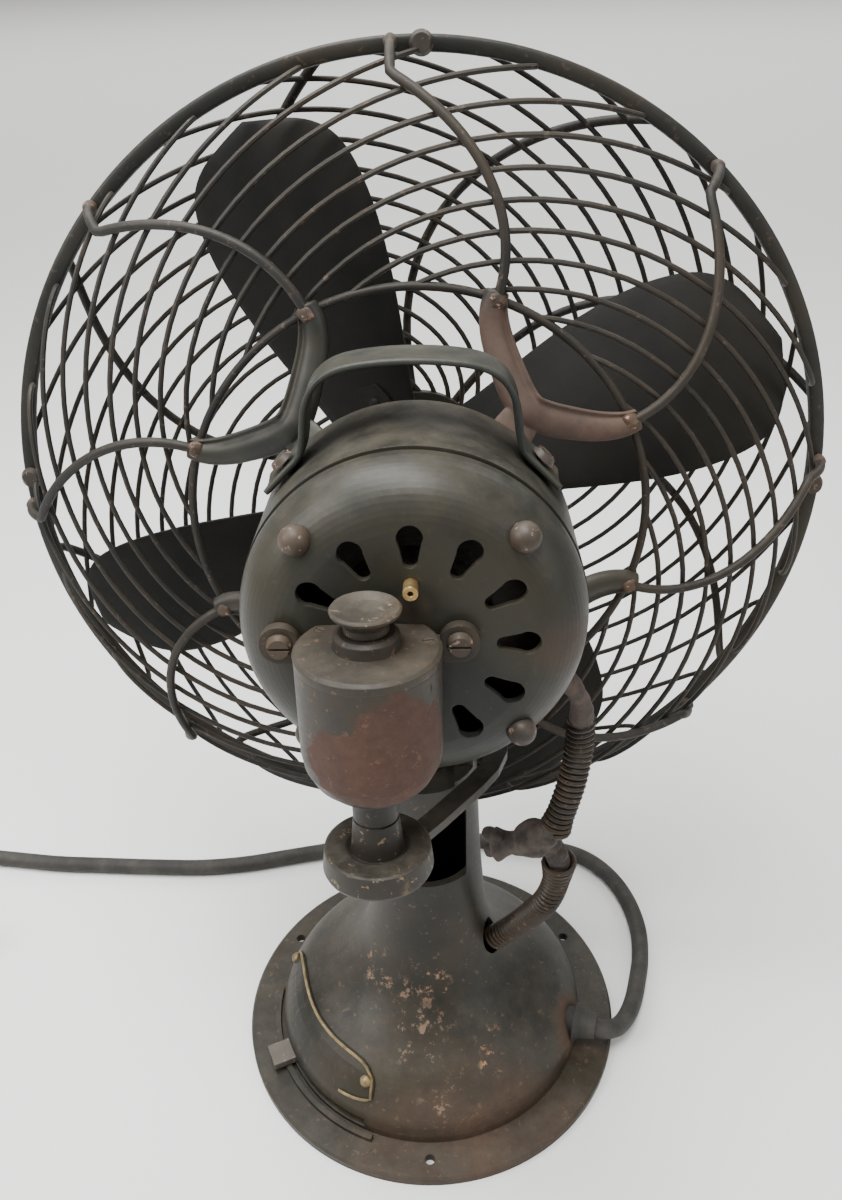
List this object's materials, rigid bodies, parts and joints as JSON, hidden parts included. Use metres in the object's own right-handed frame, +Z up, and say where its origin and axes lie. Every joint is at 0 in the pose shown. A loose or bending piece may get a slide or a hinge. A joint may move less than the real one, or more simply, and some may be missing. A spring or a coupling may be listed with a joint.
{
  "type": "oscillating desk fan",
  "caption": "Antique oscillating desk fan: bell base, tilting neck, swinging motor head with rear gearbox and link rod, wire guard and twisted blades.",
  "frame": {"origin": "centre of the base on the surface it stands on", "axes": "+Z up, the air leaves towards -Y, +Y is the motor's rear with the gearbox"},
  "size_m": [0.7137, 0.3092, 0.567],
  "materials": {
    "enamel": "dark olive-black baked enamel, worn and dusty",
    "rusty_enamel": "dark enamel worn through to brown rust",
    "blade_black": "matt black paint",
    "steel": "plain turned steel",
    "dark_steel": "laminated electrical steel",
    "brass": "aged brass",
    "copper": "varnished copper wire",
    "rubber": "old dull rubber",
    "fibre": "pressed insulating board",
    "bakelite": "moulded phenolic plastic"
  },
  "bodies": {
    "base": {"base_casting": "enamel", "bottom_cover": "rusty_enamel", "column_head": "enamel", "speed_plate": "blade_black", "plate_border": "brass", "plate_screws": "brass", "switch_block": "fibre", "switch_contacts": "brass", "choke_core": "dark_steel", "choke_winding": "copper", "cord_bushing": "rubber", "mains_cord": "rubber", "cord_coil": "rubber", "plug": "bakelite", "plug_pins": "brass", "tilt_bolt": "steel", "spring_lower": "rusty_enamel", "lead_splice": "rubber"},
    "clamp": {"tilt_nut": "rusty_enamel"},
    "lever": {"speed_lever": "rusty_enamel"},
    "neck": {"neck_trunnion": "enamel", "anchor_stud": "steel", "spring_upper": "rusty_enamel"},
    "head": {"motor_housing": "enamel", "swivel_stud": "steel", "rear_cover": "enamel", "cover_bolts": "rusty_enamel", "stator_core": "dark_steel", "stator_windings": "copper", "shaft_bearings": "brass", "oiler": "brass", "handle": "enamel", "handle_screws": "rusty_enamel", "guard_brackets": "enamel", "guard_rim": "enamel", "rim_bolts": "rusty_enamel", "rear_ring": "rusty_enamel", "rear_struts": "rusty_enamel", "rear_wires": "rusty_enamel", "front_struts": "rusty_enamel", "front_wires": "rusty_enamel", "front_badge": "enamel", "gearbox_case": "rusty_enamel", "gearbox_lid": "enamel", "lid_screws": "rusty_enamel", "gearbox_screws": "rusty_enamel", "lead_upper": "rubber"},
    "crank": {"crank_shaft": "steel", "worm_wheel": "brass", "crank_disc": "rusty_enamel"},
    "rod": {"link_rod": "rusty_enamel", "crank_screw": "steel"},
    "knob": {"clutch_knob": "rusty_enamel"},
    "rotor": {"rotor_shaft": "steel", "rotor_core": "dark_steel", "blade_hub": "blade_black", "blade_1": "blade_black", "blade_2": "blade_black", "blade_3": "blade_black", "blade_4": "blade_black"}
  },
  "joints": [
    {"name": "head_tilt", "type": "hinge", "parent": "base", "child": "neck", "pos_m": [0, 0, 0.2325], "axis": [1, 0, 0], "range_deg": [-20, 1], "deforming": ["lead_splice"]},
    {"name": "head_swing", "type": "hinge", "parent": "neck", "child": "head", "pos_m": [0, 0, 0.2325], "axis": [0, -0.1045, 0.9945], "range_deg": [0, 50], "deforming": ["spring_upper", "lead_upper"]},
    {"name": "crank_turn", "type": "hinge", "parent": "head", "child": "crank", "pos_m": [0.0173, 0.11894, 0.245], "axis": [0, -0.1045, 0.9945], "range_deg": [-131, 1]},
    {"name": "rod_pivot", "type": "hinge", "parent": "neck", "child": "rod", "pos_m": [-0.038, -0.0186, 0.23054], "axis": [0, -0.1045, 0.9945], "range_deg": [-1, 48]},
    {"name": "clutch_pull", "type": "slide", "parent": "head", "child": "knob", "axis": [0, -0.1045, 0.9945], "range_m": [0, 0.004]},
    {"name": "blade_spin", "type": "hinge", "parent": "head", "child": "rotor", "pos_m": [0, -0.03694, 0.34767], "axis": [0, 0.9945, 0.1045], "continuous": true},
    {"name": "speed_select", "type": "hinge", "parent": "base", "child": "lever", "pos_m": [0, 0, 0.011], "axis": [0, 0, 1], "range_deg": [-19, 37]},
    {"name": "tilt_clamp", "type": "hinge", "parent": "base", "child": "clamp", "pos_m": [0.033, 0, 0.2325], "axis": [1, 0, 0], "range_deg": [0, 180]}
  ],
  "couplings": [
    {"joint": "crank_turn", "follows": "head_swing", "ratio": -2.612},
    {"joint": "rod_pivot", "follows": "head_swing", "ratio": 0.936}
  ]
}
